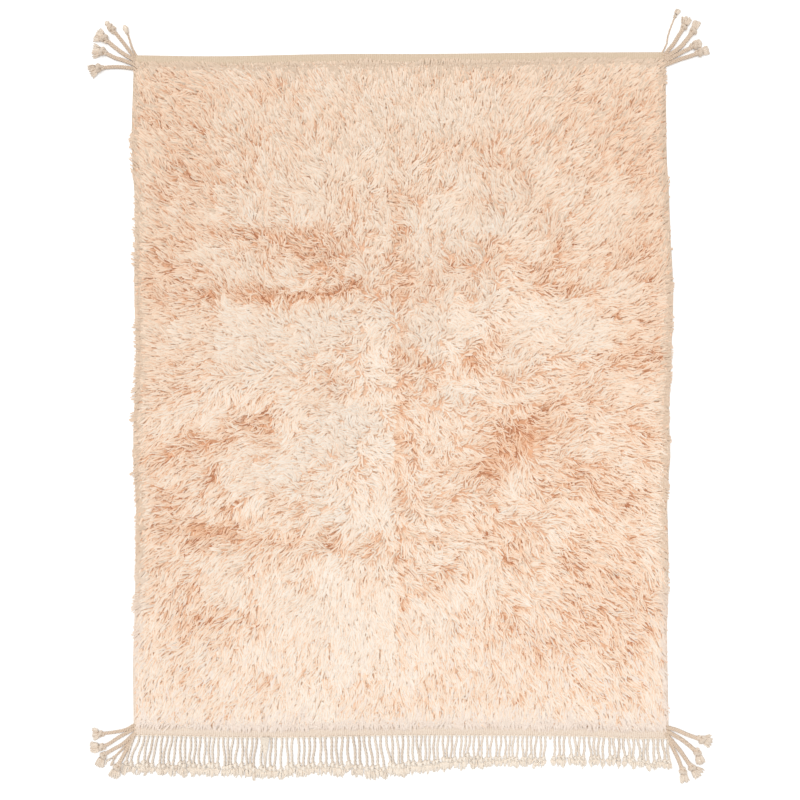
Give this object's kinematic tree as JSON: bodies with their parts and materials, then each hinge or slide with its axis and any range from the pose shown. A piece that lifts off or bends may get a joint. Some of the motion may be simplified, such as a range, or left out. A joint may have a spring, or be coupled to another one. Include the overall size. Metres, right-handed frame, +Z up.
{
  "type": "beni mrirt rug",
  "caption": "Long-pile hand-knotted wool rug with flat-woven ends, a knotted fringe along one end and knotted tassels at the corners.",
  "frame": {"origin": "middle of the underside, on the floor", "axes": "+X across the rug, +Y along it towards the end without a fringe, +Z up through the pile"},
  "size_m": [2.7598, 3.4171, 0.034],
  "materials": {
    "pile_wool": "long lying wool pile, pale blush with peach roots, matt",
    "warp_cord": "undyed twisted wool cord, natural cream, matt",
    "ground_weave": "flat-woven wool ground and end strips, natural cream, matt"
  },
  "bodies": {
    "root": {"rug_body": "pile_wool", "fringe": "warp_cord", "tassel_top_left_1": "warp_cord", "tassel_top_left_2": "warp_cord", "tassel_top_left_3": "warp_cord", "tassel_top_left_4": "warp_cord", "tassel_top_left_5": "warp_cord", "tassel_top_right_1": "warp_cord", "tassel_top_right_2": "warp_cord", "tassel_top_right_3": "warp_cord", "tassel_top_right_4": "warp_cord", "tassel_top_right_5": "warp_cord", "tassel_bottom_left_1": "warp_cord", "tassel_bottom_left_2": "warp_cord", "tassel_bottom_left_3": "warp_cord", "tassel_bottom_left_4": "warp_cord", "tassel_bottom_left_5": "warp_cord", "tassel_bottom_right_1": "warp_cord", "tassel_bottom_right_2": "warp_cord", "tassel_bottom_right_3": "warp_cord", "tassel_bottom_right_4": "warp_cord"}
  },
  "joints": []
}
